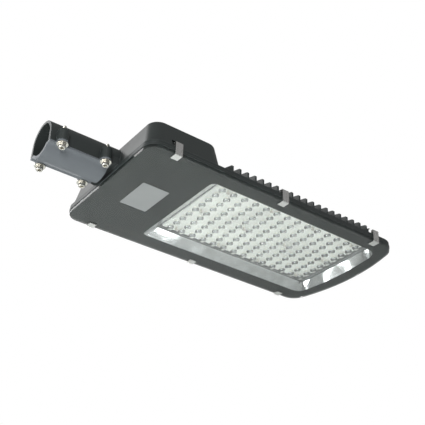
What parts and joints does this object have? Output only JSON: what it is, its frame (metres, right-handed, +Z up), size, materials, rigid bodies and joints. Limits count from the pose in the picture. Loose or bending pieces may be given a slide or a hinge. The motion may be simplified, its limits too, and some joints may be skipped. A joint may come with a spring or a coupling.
{
  "type": "street lamp head",
  "caption": "LED street-light head with a clamp arm for a horizontal pipe, a finned die-cast housing, a clipped glass cover and a lens plate over an LED board.",
  "frame": {"origin": "axis of the pipe bore at the mouth of the clamp arm", "axes": "+X from the pipe towards the lamp's front, +Z up, the glass faces down; the lamp is symmetric about Y = 0"},
  "size_m": [0.5796, 0.2446, 0.0582],
  "materials": {
    "powder_coat": "satin dark grey powder coat with a fine orange-peel texture",
    "saddle_coat": "satin grey powder coat, slightly bluer",
    "clear_glass": "clear toughened glass, polished",
    "border_enamel": "dark grey enamel printed behind the glass",
    "silicone_seal": "matte black silicone",
    "label_foil": "blank light grey label film",
    "lens_acrylic": "clear moulded acrylic",
    "board_white": "white solder mask on aluminium",
    "thermal_pad": "grey silicone pad",
    "led_phosphor": "yellow phosphor",
    "reflector_polish": "polished aluminium sheet",
    "screw_steel": "stainless steel",
    "clip_steel": "bright rolled stainless spring strip",
    "driver_case": "plain aluminium case",
    "terminal_nylon": "off-white nylon",
    "lead_insulation": "black silicone insulation",
    "gland_nylon": "black nylon"
  },
  "bodies": {
    "root": {"housing": "powder_coat", "cover_glass": "clear_glass", "glass_border_print": "border_enamel", "cover_seal": "silicone_seal", "rating_label": "label_foil", "lens_plate": "lens_acrylic", "led_board": "board_white", "thermal_pad": "thermal_pad", "led_chips": "led_phosphor", "reflector_tray": "reflector_polish", "lens_screws": "screw_steel", "driver_screws": "screw_steel", "led_driver": "driver_case", "terminal_block": "terminal_nylon", "input_lead": "lead_insulation", "output_lead": "lead_insulation", "cable_gland": "gland_nylon"},
    "clamp": {"clamp_saddle": "saddle_coat", "clamp_washers": "screw_steel"},
    "screw_1": {"clamp_screw_1": "screw_steel"},
    "screw_2": {"clamp_screw_2": "screw_steel"},
    "screw_3": {"clamp_screw_3": "screw_steel"},
    "screw_4": {"clamp_screw_4": "screw_steel"},
    "clip_right_back": {"spring_clip_right_back": "clip_steel"},
    "clip_right_middle": {"spring_clip_right_middle": "clip_steel"},
    "clip_right_front": {"spring_clip_right_front": "clip_steel"},
    "clip_left_back": {"spring_clip_left_back": "clip_steel"},
    "clip_left_middle": {"spring_clip_left_middle": "clip_steel"},
    "clip_left_front": {"spring_clip_left_front": "clip_steel"}
  },
  "joints": [
    {"name": "clamp_open", "type": "slide", "parent": "root", "child": "clamp", "axis": [0, 0, -1], "range_m": [0, 0.008]},
    {"name": "clamp_screw_1_turn", "type": "hinge", "parent": "clamp", "child": "screw_1", "pos_m": [0.0167, -0.0336, -0.0254], "axis": [0, 0, -1], "range_deg": [0, 2890]},
    {"name": "clamp_screw_2_turn", "type": "hinge", "parent": "clamp", "child": "screw_2", "pos_m": [0.0167, 0.0336, -0.0254], "axis": [0, 0, -1], "range_deg": [0, 2890]},
    {"name": "clamp_screw_3_turn", "type": "hinge", "parent": "clamp", "child": "screw_3", "pos_m": [0.0835, -0.0336, -0.0254], "axis": [0, 0, -1], "range_deg": [0, 2890]},
    {"name": "clamp_screw_4_turn", "type": "hinge", "parent": "clamp", "child": "screw_4", "pos_m": [0.0835, 0.0336, -0.0254], "axis": [0, 0, -1], "range_deg": [0, 2890]},
    {"name": "clip_right_back_swing", "type": "hinge", "parent": "root", "child": "clip_right_back", "pos_m": [0.146, -0.1183, -0.0143], "axis": [-1, 0, 0], "range_deg": [0, 60]},
    {"name": "clip_right_middle_swing", "type": "hinge", "parent": "root", "child": "clip_right_middle", "pos_m": [0.3336, -0.1183, -0.0143], "axis": [-1, 0, 0], "range_deg": [0, 60]},
    {"name": "clip_right_front_swing", "type": "hinge", "parent": "root", "child": "clip_right_front", "pos_m": [0.5189, -0.1183, -0.0143], "axis": [-1, 0, 0], "range_deg": [0, 60]},
    {"name": "clip_left_back_swing", "type": "hinge", "parent": "root", "child": "clip_left_back", "pos_m": [0.146, 0.1183, -0.0143], "axis": [1, 0, 0], "range_deg": [0, 60]},
    {"name": "clip_left_middle_swing", "type": "hinge", "parent": "root", "child": "clip_left_middle", "pos_m": [0.3336, 0.1183, -0.0143], "axis": [1, 0, 0], "range_deg": [0, 60]},
    {"name": "clip_left_front_swing", "type": "hinge", "parent": "root", "child": "clip_left_front", "pos_m": [0.5189, 0.1183, -0.0143], "axis": [1, 0, 0], "range_deg": [0, 60]}
  ],
  "couplings": [
    {"joint": "clamp_screw_1_turn", "follows": "clamp_open", "rad_per_m": 6283.2},
    {"joint": "clamp_screw_2_turn", "follows": "clamp_open", "rad_per_m": 6283.2},
    {"joint": "clamp_screw_3_turn", "follows": "clamp_open", "rad_per_m": 6283.2},
    {"joint": "clamp_screw_4_turn", "follows": "clamp_open", "rad_per_m": 6283.2}
  ]
}
